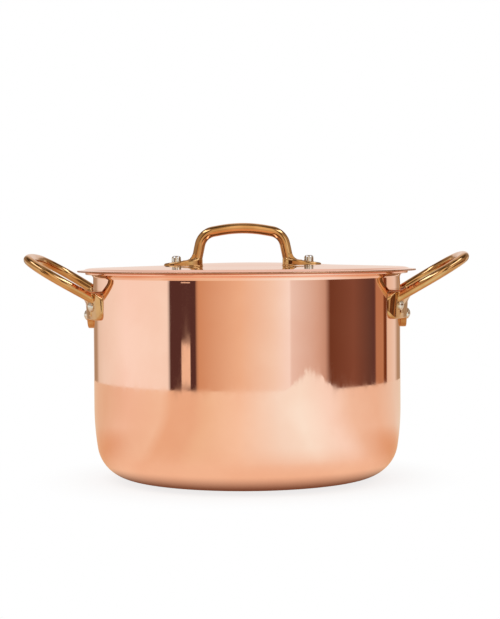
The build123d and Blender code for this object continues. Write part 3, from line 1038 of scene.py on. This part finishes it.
    def casting(self) -> bpy.types.Object:
        """Cast arch and feet in one, and seat the feet on the crown.

        Returns:
            The piece.
        """
        solids = [self._arch()]
        for turn in (0.0, math.pi):
            for solid in (self._flare(), self._foot()):
                swing = Matrix.Rotation(turn, 4, "Z")
                bmesh.ops.transform(solid, matrix=swing, verts=solid.verts[:])
                solids.append(solid)
        whole = Foundry.cast(solids, self.voxel, self.rub_rounds)
        bmesh.ops.translate(whole, verts=whole.verts[:], vec=(self.offset, 0.0, 0.0))
        for vert in whole.verts:
            seat = self.lid.crown_at(min(vert.co.xy.length, self.lid.crown_plan)) + AIR
            vert.co.z = max(vert.co.z, seat)
        return fit("lid_grip", whole, Body.LID, self.brass, ("lid_handle",), self.sharp)

    def rivet(self, side: Side) -> bpy.types.Object:
        """Turn one rivet: tall head on the foot, shank, flat head against the tin.

        Args:
            side: Which foot.

        Returns:
            The piece.
        """
        middle = self.offset + side.value * self.rivet_spread
        sheet_top = self.lid.crown_at(abs(middle))
        foot = self.foot_top(self.rivet_spread)
        low = sheet_top - self.lid.sheet - self.lid.pan.tin_coat
        under = self.under_head / 2.0
        pen = Pen(0.0, low - self.under_thick)
        pen.line_to(under - self.under_round, low - self.under_thick)
        pen.arc(self.under_round, 90.0, 4)
        pen.line_to(under, low)
        pen.line_to(self.rivet_shank / 2.0, low)
        pen.line_to(self.rivet_shank / 2.0, foot - self.head_sink)
        pen.line_to(self.rivet_base / 2.0, foot - self.head_sink)
        pen.line_to(self.rivet_top / 2.0, foot + self.rivet_height - self.rivet_round)
        pen.arc(self.rivet_round, 90.0, 8)
        pen.line_to(0.0, foot + self.rivet_height)
        solid = pen.turned(self.rivet_sides)
        bmesh.ops.translate(solid, verts=solid.verts[:], vec=(middle, 0.0, 0.0))
        name = f"lid_rivet_{side.label}"
        return fit(f"{name}_turned", solid, Body.LID, self.steel, (name,))


@dataclass
class SideGrip:
    """Side handle: a plate bent to the wall with a loop that rises from it, and three rivets."""

    pan: Pan
    side: Side
    brass: bpy.types.Material
    steel: bpy.types.Material
    plate_thick: float = 0.006
    plate_end: float = 0.0027
    plate_lean: float = 4.0
    wing_half: float = 0.054
    wing_tall: float = 0.021
    wing_drop: float = 0.026
    wing_corner: float = 0.0085
    wing_round: float = 0.0065
    wing_end_share: float = 0.22
    lobe_radius: float = 0.0115
    lobe_drop: float = 0.0068
    neck_radius: float = 0.007
    ledge_angle: float = 18.0
    ledge_reach: float = 0.0135
    ledge_drop: float = 0.0068
    ledge_rise: float = 0.0117
    ledge_lip: float = 0.0006
    ledge_hollow: float = 0.0195
    loop_tilt: float = 30.5
    loop_rise: float = 0.0078
    bar_wide: float = 0.0088
    bar_thick: float = 0.0074
    loop_start: float = 0.006
    loop_spread: float = 15.95
    loop_half: float = 0.0475
    loop_reach: float = 0.0584
    loop_bow: float = 0.0064
    shoulder_radius: float = 0.04
    corner_radius: float = 0.026
    side_straight: float = 0.00166
    end_straight: float = 0.00095
    rivet_shank: float = 0.005
    rivet_head: float = 0.0084
    rivet_height: float = 0.0027
    inner_head: float = 0.009
    inner_height: float = 0.0014
    rivet_angle: float = 18.4
    upper_rise: float = 0.0002
    lower_drop: float = 0.0078
    inner_sink: float = 0.0001
    head_sink: float = 0.0008
    head_skirt: float = 0.0007
    rivet_sides: int = 64
    blank_reach: float = 0.15
    cone_depth: float = 0.08
    cone_sides: int = 360
    wall_bite_share: float = 0.3
    ledge_sink: float = 0.0012
    ledge_steps: int = 36
    wing_margin: float = 0.001
    neck_steps: int = 8
    wing_steps: int = 12
    bend_steps: int = 10
    corner_steps: int = 28
    end_steps: int = 24
    voxel: float = 0.0005
    rub_rounds: int = 10
    sharp: float = 75.0

    @property
    def middle(self) -> float:
        """Height of the middle of the wings."""
        return self.pan.rim_height - self.wing_drop

    @property
    def plate_face(self) -> tuple[float, float]:
        """Radius and middle along X of the plate's outer face."""
        front = self.pan.body_radius + self.plate_thick
        end = self.pan.body_radius + self.plate_end
        bow = front - math.sqrt(end ** 2 - self.wing_half ** 2)
        radius = (self.wing_half ** 2 + bow ** 2) / (2.0 * bow)
        return radius, front - radius

    def surface(self, angle: float, height: float) -> float:
        """Work out how far the plate's face is from the axis.

        Args:
            angle: Degrees from the middle of the plate.
            height: Height.

        Returns:
            The distance.
        """
        radius, centre = self.plate_face
        radius += math.tan(math.radians(self.plate_lean)) * (height - self.middle)
        turn = math.radians(angle)
        return centre * math.cos(turn) + math.sqrt(radius ** 2 - (centre * math.sin(turn)) ** 2)

    def _plate(self) -> bmesh.types.BMesh:
        """Cut two wings and a lower lobe from a slab and curve their face.

        Returns:
            The closed plate.
        """
        low = self.middle - self.wing_tall / 2.0
        drop = self.middle - self.lobe_drop - (low - self.neck_radius)
        reach = math.sqrt((self.lobe_radius + self.neck_radius) ** 2 - drop ** 2)
        dip = math.degrees(math.acos(drop / (self.lobe_radius + self.neck_radius)))
        straight = self.wing_half - self.wing_corner
        pen = Pen(straight, low, 180.0)
        pen.line(straight - reach)
        pen.arc(self.neck_radius, dip, self.neck_steps)
        pen.arc(self.lobe_radius, -2.0 * dip, self.end_steps)
        pen.arc(self.neck_radius, dip, self.neck_steps)
        pen.line(straight - reach)
        for length in (self.wing_tall - 2.0 * self.wing_corner, 2.0 * straight):
            pen.arc(self.wing_corner, -90.0, self.wing_steps)
            pen.line(length)
        pen.arc(self.wing_corner, -90.0, self.wing_steps)
        pen.line(self.wing_tall - 2.0 * self.wing_corner)
        pen.arc(self.wing_corner, -90.0, self.wing_steps)
        slab = pen.slab(-self.blank_reach, -(self.pan.body_radius - self.wing_half / 2.0))
        bmesh.ops.transform(slab, matrix=Matrix.Rotation(math.pi / 2.0, 4, "Z"), verts=slab.verts[:])
        radius, centre = self.plate_face
        taper = math.tan(math.radians(self.plate_lean)) * self.cone_depth / 2.0
        cone = bmesh.new()
        bmesh.ops.create_cone(
            cone, cap_ends=True, segments=self.cone_sides, radius1=radius - taper,
            radius2=radius + taper, depth=self.cone_depth,
            matrix=Matrix.Translation((centre, 0.0, self.middle)),
        )
        return self._off_wall(Foundry.carve(slab, cone, Keep.INSIDE))

    def _off_wall(self, blank: bmesh.types.BMesh) -> bmesh.types.BMesh:
        """Cut away what would stand inside the wall of the pan.

        Args:
            blank: Closed solid, which is used up.

        Returns:
            What is left of it.
        """
        drum = bmesh.new()
        radius = self.pan.body_radius - self.pan.wall * self.wall_bite_share
        bmesh.ops.create_cone(
            drum, cap_ends=True, segments=self.cone_sides, radius1=radius, radius2=radius,
            depth=4.0 * self.middle,
        )
        return Foundry.carve(blank, drum, Keep.OUTSIDE)

    def _ledge(self) -> bmesh.types.BMesh:
        """Swing the ledge along the top of the plate that joins the roots of the bars.

        Returns:
            The closed ledge.
        """
        wall = self.pan.body_radius
        bottom, top = self.middle - self.ledge_drop, self.middle + self.ledge_rise
        foot = Vector((wall + self.plate_thick - self.ledge_sink, bottom))
        lip = Vector((wall + self.ledge_reach, top - self.ledge_lip))
        chord = lip - foot
        turn = 2.0 * math.asin(chord.length / 2.0 / self.ledge_hollow)
        lean = math.atan2(chord.y, chord.x)
        pen = Pen(foot.x, foot.y, math.degrees(lean + turn / 2.0))
        pen.arc(self.ledge_hollow, -math.degrees(turn), self.bend_steps)
        pen.line_to(wall + self.ledge_reach, top)
        pen.line_to(wall - self.pan.wall, top - self.ledge_lip)
        pen.line_to(wall - self.pan.wall, bottom)
        pen.line_to(foot.x, foot.y)
        return pen.swung(2.0 * self.ledge_angle, self.ledge_steps)

    def _loop(self) -> bmesh.types.BMesh:
        """Lay the bar that the hand takes flat, and tilt it up from the wall.

        Returns:
            The closed bar.
        """
        spread = math.radians(self.loop_spread)
        lean = math.atan2(self.loop_bow, self.loop_half)
        corner_run = self.corner_radius * math.tan((math.pi / 2.0 - lean) / 2.0)
        shoulder_run = self.shoulder_radius * math.tan(spread / 2.0)
        shoulder = self.loop_reach - self.loop_bow - corner_run - self.side_straight - shoulder_run
        root_half = self.loop_half - (shoulder + self.loop_start) * math.tan(spread)
        root_run = (shoulder + self.loop_start) / math.cos(spread) - shoulder_run
        end_run = math.hypot(self.loop_bow, self.loop_half) - corner_run - self.end_straight
        end_radius = end_run / math.tan(lean)
        corner = 90.0 - math.degrees(lean)
        bar = Bar(-self.loop_start, -root_half, -self.loop_spread, self.bar_wide, self.bar_thick)
        bar.line(root_run, self.bend_steps)
        bar.arc(self.shoulder_radius, self.loop_spread, self.bend_steps)
        bar.line(self.side_straight)
        bar.arc(self.corner_radius, corner, self.corner_steps)
        bar.line(self.end_straight)
        bar.arc(end_radius, 2.0 * math.degrees(lean), self.end_steps)
        bar.line(self.end_straight)
        bar.arc(self.corner_radius, corner, self.corner_steps)
        bar.line(self.side_straight)
        bar.arc(self.shoulder_radius, self.loop_spread, self.bend_steps)
        bar.line(root_run, self.bend_steps)
        root = Matrix.Translation((self.pan.body_radius, 0.0, self.middle + self.loop_rise))
        loop = bar.solid(root @ Matrix.Rotation(math.radians(-self.loop_tilt), 4, "Y"))
        return self._off_wall(loop)

    def casting(self) -> bpy.types.Object:
        """Cast plate, ledge and loop in one, its back lying on the wall.

        Returns:
            The piece.
        """
        solids = [self._plate(), self._ledge(), self._loop()]
        whole = Foundry.cast(solids, self.voxel, self.rub_rounds)
        wall = self.pan.body_radius + AIR
        for vert in whole.verts:
            reach = vert.co.xy.length
            proud = max(reach - wall, 0.0) * self._end_share(vert.co)
            vert.co.x *= (wall + proud) / reach
            vert.co.y *= (wall + proud) / reach
        self._to_side(whole)
        name = f"{self.side.label}_handle"
        grip = f"{self.side.label}_grip"
        return fit(grip, whole, Body.POT, self.brass, (name,), self.sharp)

    def _end_share(self, place: Vector) -> float:
        """Work out how much of its thickness the plate keeps, to round off the ends of its wings.

        Args:
            place: Place on the casting.

        Returns:
            The share that it keeps there.
        """
        over = abs(place.y) - (self.wing_half - self.wing_round)
        low = self.middle - self.wing_tall
        high = self.middle + self.wing_tall / 2.0 + self.wing_margin
        if over <= 0.0 or not low < place.z < high:
            return 1.0
        return max(self.wing_end_share, math.sqrt(max(0.0, 1.0 - (over / self.wing_round) ** 2)))

    def _to_side(self, solid: bmesh.types.BMesh) -> None:
        """Mirror a solid made for the right side if it belongs on the left.

        Args:
            solid: The solid, changed in place.
        """
        if self.side is Side.LEFT:
            bmesh.ops.scale(solid, vec=(-1.0, 1.0, 1.0), verts=solid.verts[:])
            bmesh.ops.recalc_face_normals(solid, faces=solid.faces[:])

    def rivet(self, label: str, angle: float, height: float) -> bpy.types.Object:
        """Turn one rivet and lay it along its bore.

        Args:
            label: Place of the rivet on the plate.
            angle: Degrees from the middle of the plate.
            height: Height of its axis.

        Returns:
            The piece.
        """
        seat = self.surface(angle, height)
        inside = self.pan.body_radius - self.pan.wall - self.pan.tin_coat
        pen = Pen(0.0, inside - self.inner_height)
        self._dome(pen, self.inner_head / 2.0, self.inner_height, 1)
        pen.line_to(self.inner_head / 2.0, inside + self.inner_sink)
        pen.line_to(self.rivet_shank / 2.0, inside + self.inner_sink)
        pen.line_to(self.rivet_shank / 2.0, seat - self.head_sink)
        pen.line_to(self.rivet_head / 2.0, seat - self.head_sink)
        skirt = seat + self.head_skirt
        pen.line_to(self.rivet_head / 2.0, skirt)
        self._dome(pen, self.rivet_head / 2.0, seat + self.rivet_height - skirt, -1)
        solid = pen.turned(self.rivet_sides)
        lay = Matrix.Rotation(math.radians(angle), 4, "Z") @ Matrix.Rotation(math.pi / 2.0, 4, "Y")
        place = Matrix.Translation((0.0, 0.0, height)) @ lay
        bmesh.ops.transform(solid, matrix=place, verts=solid.verts[:])
        self._to_side(solid)
        name = f"{self.side.label}_rivet_{label}"
        return fit(f"{name}_turned", solid, Body.POT, self.steel, (name,))

    @staticmethod
    def _dome(pen: Pen, half: float, rise: float, way: int) -> None:
        """Draw a dome.

        Args:
            pen: Pen at the start of the dome.
            half: Half its width.
            rise: Its height.
            way: 1 from its top outwards, -1 from its rim inwards.
        """
        radius = (half ** 2 + rise ** 2) / (2.0 * rise)
        turn = math.degrees(math.asin(half / radius))
        pen.heading = 0.0 if way > 0 else math.radians(180.0 - turn)
        pen.arc(radius, turn, 10)

    def rivets(self) -> list[bpy.types.Object]:
        """Set the three rivets.

        Returns:
            The pieces.
        """
        upper, lower = self.middle + self.upper_rise, self.middle - self.lower_drop
        turn = self.rivet_angle
        places = (("front", -turn, upper), ("rear", turn, upper), ("lower", 0.0, lower))
        return [self.rivet(*place) for place in places]


# Studio


@dataclass(frozen=True)
class Card:
    """A soft-edged panel of the studio, seen only in the metal."""

    azimuth: tuple[float, float]
    elevation: tuple[float, float]
    colour: Colour
    soft: tuple[float, float] = (1.0, 1.0)


@dataclass
class Studio:
    """Floor, lamp, world and camera."""

    focal: float = 102.18
    distance: float = 1.3788
    eye_height: float = 0.18475
    camera_azimuth: float = 1.6
    pitch: float = 0.0379
    yaw: float = 0.0018
    roll: float = 0.0068
    table_radius: float = 1.8
    table_edge: float = 1.04
    table_bulge: float = 0.37
    table_sides: int = 180
    bulge_span: tuple[float, float, float] = (24.0, 46.0, 66.0)
    rag_scale: float = 9.0
    rag_span: tuple[float, float] = (0.3, 0.7)
    rag_shares: tuple[float, float] = (0.55, 1.15)
    edge_soft: float = 0.012
    # Reaches of the painted light on the table: warm bounce near the pan, shade at the sides, contact
    # shadow under the base.
    painted_bounce_reach: tuple[float, float] = (0.1, 0.24)
    painted_side_shade_span: tuple[float, float] = (60.0, 110.0)
    painted_side_shade_reach: tuple[float, float] = (0.2, 0.42)
    painted_contact_shadow_reach: tuple[float, float] = (0.094, 0.12)
    shadow_reach: tuple[float, float] = (0.1, 0.18)
    shadow_share: float = 0.8
    # Share of the table that the metal sees as its painted glow rather than as the lit white surface.
    painted_glow_share: float = 0.9
    white: Colour = (0.97, 0.97, 0.97)
    light_grey: Colour = (0.86, 0.86, 0.86)
    lamp_size: float = 1.2
    lamp_power: float = 6.0
    lamp_place: tuple[float, float, float] = (-0.7, -0.9, 1.7)
    # Colours of the painted light on the table: warm bounce near the pan, side shade, contact shadow.
    painted_bounce_tone: Colour = (0.95, 0.7, 0.48)
    painted_side_shade_tone: Colour = (0.78, 0.43, 0.21)
    painted_contact_shadow_tone: Colour = (0.2, 0.08, 0.04)
    walls: tuple[Stop, ...] = (
        (-180.0, (0.88, 0.72, 0.63)), (-169.0, (0.88, 0.72, 0.63)), (-164.0, (0.42, 0.28, 0.17)),
        (-152.0, (0.46, 0.31, 0.19)), (-145.0, (0.82, 0.7, 0.56)), (-134.0, (0.9, 0.82, 0.7)),
        (-116.0, (0.96, 0.91, 0.8)), (-101.0, (1.02, 0.98, 0.9)), (-59.4, (1.0, 0.98, 0.88)),
        (-58.4, (0.095, 0.041, 0.035)), (-37.6, (0.095, 0.041, 0.035)), (-36.2, (0.66, 0.36, 0.19)),
        (-5.2, (0.887, 0.647, 0.437)), (18.8, (0.956, 0.895, 0.757)),
        (31.0, (1.0, 1.03, 0.98)), (32.4, (0.87, 0.81, 0.74)),
        (53.0, (0.70, 0.53, 0.42)), (59.0, (0.6, 0.42, 0.32)),
        (63.0, (0.17, 0.06, 0.03)), (85.0, (0.23, 0.094, 0.056)), (104.0, (0.133, 0.063, 0.045)),
        (109.4, (0.12, 0.05, 0.04)), (110.8, (0.5, 0.25, 0.13)), (121.4, (0.52, 0.26, 0.13)),
        (122.6, (0.16, 0.04, 0.01)), (126.4, (0.16, 0.04, 0.01)), (128.0, (0.84, 0.67, 0.5)),
        (144.0, (0.88, 0.75, 0.62)), (152.0, (0.46, 0.31, 0.19)), (164.0, (0.42, 0.28, 0.17)),
        (169.0, (0.88, 0.72, 0.63)),
    )
    # Painted reflections and shade on the table round the pan, by azimuth, glowing in the metal.
    painted_table_light: tuple[Stop, ...] = (
        (-180.0, (0.8, 0.55, 0.34)), (-122.0, (0.81, 0.57, 0.36)), (-92.0, (0.93, 0.71, 0.52)),
        (-62.0, (0.94, 0.75, 0.53)), (-53.0, (0.86, 0.57, 0.34)), (-37.0, (0.86, 0.58, 0.35)),
        (-28.0, (0.9, 0.68, 0.43)), (-6.0, (0.98, 0.8, 0.58)), (20.0, (1.0, 1.08, 0.98)),
        (36.0, (1.03, 1.18, 1.1)), (58.0, (1.02, 1.0, 0.9)), (76.0, (0.94, 0.78, 0.6)),
        (102.0, (0.89, 0.66, 0.46)), (136.0, (0.86, 0.74, 0.58)), (180.0, (0.8, 0.55, 0.34)),
    )
    cards: tuple[Card, ...] = (
        Card((-164.0, 164.0), (7.0, 95.0), (0.55, 0.44, 0.33), (5.0, 3.0)),
        Card((-164.0, -114.0), (7.0, 34.0), (0.38, 0.27, 0.18), (5.0, 4.0)),
        Card((114.0, 164.0), (7.0, 34.0), (0.38, 0.27, 0.18), (5.0, 4.0)),
        Card((-156.0, -112.0), (30.0, 61.0), (0.12, 0.085, 0.055), (5.0, 3.0)),
        Card((112.0, 156.0), (30.0, 61.0), (0.12, 0.085, 0.055), (5.0, 3.0)),
        Card((-36.0, -15.0), (10.0, 38.0), (0.12, 0.075, 0.045), (4.0, 4.0)),
        Card((15.0, 36.0), (10.0, 38.0), (0.12, 0.075, 0.045), (4.0, 4.0)),
        Card((-180.0, 180.0), (67.0, 81.0), (0.1, 0.075, 0.05), (2.0, 4.0)),
        Card((-13.0, 13.0), (9.0, 64.0), (1.18, 0.98, 0.76), (5.0, 6.0)),
        Card((36.0, 62.0), (6.0, 30.0), (1.3, 1.2, 1.05), (7.0, 5.0)),
        Card((-116.0, -36.0), (48.0, 58.0), (3.6, 3.9, 4.6), (7.0, 2.5)),
        Card((36.0, 116.0), (48.0, 58.0), (3.6, 3.9, 4.6), (7.0, 2.5)),
        Card((-48.8, -41.8), (-4.7, -3.25), (0.93, 0.7, 0.5), (0.3, 0.15)),
    )

    def camera(self) -> bpy.types.Object:
        """Stand the camera where the photograph was taken from.

        Returns:
            The camera.
        """
        lens = bpy.data.cameras.new("camera")
        lens.lens = self.focal
        lens.sensor_width = 36.0
        eye = bpy.data.objects.new("camera", lens)
        bpy.context.scene.collection.objects.link(eye)
        swing = Matrix.Rotation(math.radians(self.camera_azimuth), 3, "Z")
        level = Vector((math.cos(self.yaw), -math.sin(self.yaw), 0.0))
        ahead = Vector((math.sin(self.yaw), math.cos(self.yaw), 0.0))
        ahead_down = ahead * math.cos(self.pitch) - Vector((0.0, 0.0, math.sin(self.pitch)))
        above = ahead * math.sin(self.pitch) + Vector((0.0, 0.0, math.cos(self.pitch)))
        right = level * math.cos(self.roll) - above * math.sin(self.roll)
        upward = level * math.sin(self.roll) + above * math.cos(self.roll)
        turn = Matrix((swing @ right, swing @ upward, swing @ -ahead_down)).transposed()
        stand = swing @ Vector((0.0, -self.distance, self.eye_height))
        eye.matrix_world = Matrix.Translation(stand) @ turn.to_4x4()
        bpy.context.scene.camera = eye
        return eye

    def floor(self) -> bpy.types.Object:
        """Lay the pale table.

        Returns:
            The floor.
        """
        disc = bmesh.new()
        bmesh.ops.create_circle(disc, cap_ends=True, segments=self.table_sides, radius=self.table_radius)
        mesh = bpy.data.meshes.new("table")
        disc.to_mesh(mesh)
        disc.free()
        table = bpy.data.objects.new("table", mesh)
        bpy.context.scene.collection.objects.link(table)
        mesh.materials.append(self._table_painted_glow())
        return table

    def _azimuth(self, bench: Bench, way: bpy.types.NodeSocket) -> bpy.types.NodeSocket:
        """Work out the azimuth of a direction or place.

        Args:
            bench: Bench of the shader.
            way: Socket of the direction or place.

        Returns:
            Degrees round from the camera.
        """
        split = bench.add("SeparateXYZ", Vector=way).outputs
        turn = bench.sum("ARCTAN2", split[0], bench.sum("MULTIPLY", split[1], -1.0))
        return bench.sum("SUBTRACT", bench.sum("MULTIPLY", turn, 180.0 / math.pi), self.camera_azimuth)

    @staticmethod
    def _round(
        bench: Bench, azimuth: bpy.types.NodeSocket, tones: tuple[Stop, ...],
    ) -> bpy.types.NodeSocket:
        """Colour by azimuth.

        Args:
            bench: Bench of the shader.
            azimuth: Socket of the azimuth.
            tones: Azimuths and their colours, in order.

        Returns:
            The colour.
        """
        share = bench.sum("ADD", bench.sum("MULTIPLY", azimuth, 1.0 / 360.0), 0.5)
        return bench.ramp(share, tuple((place / 360.0 + 0.5, tone) for place, tone in tones))

    def _table_painted_glow(self) -> bpy.types.Material:
        """Make the table: white to the camera but for a shadow; in the metal, up to its edge, it glows
        with painted light: painted reflections and shade round the pan, a painted warm bounce near it,
        painted side shade and a painted contact shadow under the base.

        Returns:
            The material.
        """
        material = bpy.data.materials.new("table_painted_glow")
        material.use_nodes = True
        bench = Bench(material.node_tree)
        place = bench.add("TexCoord").outputs["Object"]
        reach = bench.add("VectorMath", {"operation": "LENGTH"}, Vector=place).outputs["Value"]
        azimuth = self._azimuth(bench, place)
        path = bench.add("LightPath").outputs
        mirror = bench.sum("MAXIMUM", path["Is Glossy Ray"], path["Is Transmission Ray"])
        # Painted reflections and shade on the table, by azimuth round the pan.
        tone = self._round(bench, azimuth, self.painted_table_light)
        # Painted warm light bounced from the copper onto the table near the pan.
        tone = bench.blend(bench.spread(reach, *self.painted_bounce_reach), self.painted_bounce_tone, tone)
        # Painted shade on the table to the left and right of the pan, fading outwards.
        aside = bench.spread(bench.sum("ABSOLUTE", azimuth), *self.painted_side_shade_span)
        painted_side_shade = bench.sum("MULTIPLY", aside, bench.spread(reach, *self.painted_side_shade_reach, 1.0, 0.0))
        tone = bench.blend(painted_side_shade, tone, self.painted_side_shade_tone)
        # Painted contact shadow: dark under and round the base of the pan.
        tone = bench.blend(bench.spread(reach, *self.painted_contact_shadow_reach), self.painted_contact_shadow_tone, tone)
        # The table glows for mirror rays with this painted light and painted reflection; it is no lamp.
        painted_glow = bench.add("Emission", Color=tone, Strength=1.0).outputs[0]
        matt = bench.add("BsdfDiffuse", Color=(*self.white, 1.0)).outputs[0]
        white = bench.add("Emission", Strength=1.0).outputs[0]
        shade = bench.spread(reach, *self.shadow_reach, self.shadow_share, 1.0)
        bare = bench.sum("MULTIPLY", shade, path["Is Camera Ray"])
        start, middle, end = self.bulge_span
        up = bench.spread(azimuth, start, middle, 0.0, self.table_bulge)
        down = bench.spread(azimuth, middle, end, 1.0, 0.0)
        rag = bench.add("TexNoise", Vector=place, Scale=self.rag_scale, Detail=3.0).outputs[0]
        ragged = bench.sum("MULTIPLY", bench.spread(rag, *self.rag_span, *self.rag_shares), up)
        edge = bench.sum("ADD", bench.sum("MULTIPLY", ragged, down), self.table_edge)
        past = bench.spread(bench.sum("SUBTRACT", reach, edge), -self.edge_soft, self.edge_soft)
        surface = bench.mix(bare, matt, white)
        surface = bench.mix(bench.sum("MULTIPLY", mirror, self.painted_glow_share), surface, painted_glow)
        clear = bench.add("BsdfTransparent").outputs[0]
        surface = bench.mix(bench.sum("MULTIPLY", mirror, past), surface, clear)
        bench.add("OutputMaterial", Surface=surface)
        return material

    def lamp(self) -> bpy.types.Object:
        """Hang a wide soft lamp over the left shoulder.

        Returns:
            The lamp.
        """
        light = bpy.data.lights.new("softbox", "AREA")
        light.shape = "RECTANGLE"
        light.size, light.size_y = self.lamp_size, self.lamp_size
        light.energy = self.lamp_power
        lamp = bpy.data.objects.new("softbox", light)
        bpy.context.scene.collection.objects.link(lamp)
        stand = Vector(self.lamp_place)
        lamp.location = stand
        lamp.rotation_euler = (-stand).to_track_quat("-Z", "Y").to_euler()
        lamp.visible_glossy = False
        lamp.visible_camera = False
        return lamp

    def _panel(self, bench: Bench, ways: tuple, card: Card) -> bpy.types.NodeSocket:
        """Mask one card.

        Args:
            bench: Bench of the shader.
            ways: Sockets of azimuth and elevation.
            card: The card.

        Returns:
            Its mask, 1 inside its edges.
        """
        mask: object = 1.0
        spans = ((ways[0], card.azimuth, card.soft[0]), (ways[1], card.elevation, card.soft[1]))
        for way, (low, high), soft in spans:
            if high - low >= 360.0:
                continue
            mask = bench.sum("MULTIPLY", mask, bench.spread(way, low - soft, low + soft))
            mask = bench.sum("MULTIPLY", mask, bench.spread(way, high - soft, high + soft, 1.0, 0.0))
        return mask

    def world(self) -> bpy.types.World:
        """Light the object evenly, and show the metal the walls of a studio.

        Returns:
            The world.
        """
        world = bpy.data.worlds.new("studio")
        world.use_nodes = True
        world.cycles.sampling_method = "NONE"
        bpy.context.scene.world = world
        bench = Bench(world.node_tree)
        way = bench.add("TexCoord").outputs["Generated"]
        azimuth = self._azimuth(bench, way)
        rise = bench.sum("ARCSINE", bench.add("SeparateXYZ", Vector=way).outputs[2])
        elevation = bench.sum("MULTIPLY", rise, 180.0 / math.pi)
        colour = self._round(bench, azimuth, self.walls)
        for card in self.cards:
            mask = self._panel(bench, (azimuth, elevation), card)
            colour = bench.blend(mask, colour, card.colour)
        path = bench.add("LightPath").outputs
        mirror = bench.sum("MAXIMUM", path["Is Glossy Ray"], path["Is Transmission Ray"])
        plain = bench.blend(path["Is Camera Ray"], self.light_grey, (1.0, 1.0, 1.0))
        seen = bench.blend(mirror, plain, colour)
        backdrop = bench.add("Background", Color=seen, Strength=1.0)
        bench.add("OutputWorld", Surface=backdrop.outputs[0])
        return world

    def build(self) -> None:
        """Set up everything round the object."""
        self.camera()
        self.floor()
        self.lamp()
        self.world()
        bpy.context.scene.view_settings.view_transform = "Standard"


def main() -> None:
    """Build the pan, its lid and handles, and the studio round them."""
    logging.basicConfig(level=logging.INFO, format="%(message)s")
    finishes = (COPPER, DARK_EDGE_COPPER, BRASS, TIN, RIVET)
    copper, dark_edge, brass, tin, steel = (finish.build() for finish in finishes)
    pan = Pan(copper, tin)
    pan.shell()
    pan.tinning()
    lid = Lid(pan, copper, dark_edge, tin)
    lid.plate()
    lid.tinning()
    lid.ring()
    grip = LidGrip(lid, brass, steel)
    grip.casting()
    for side in Side:
        grip.rivet(side)
    for side in Side:
        handle = SideGrip(pan, side, brass, steel)
        handle.casting()
        handle.rivets()
    Studio().build()


if __name__ == "__main__":
    main()
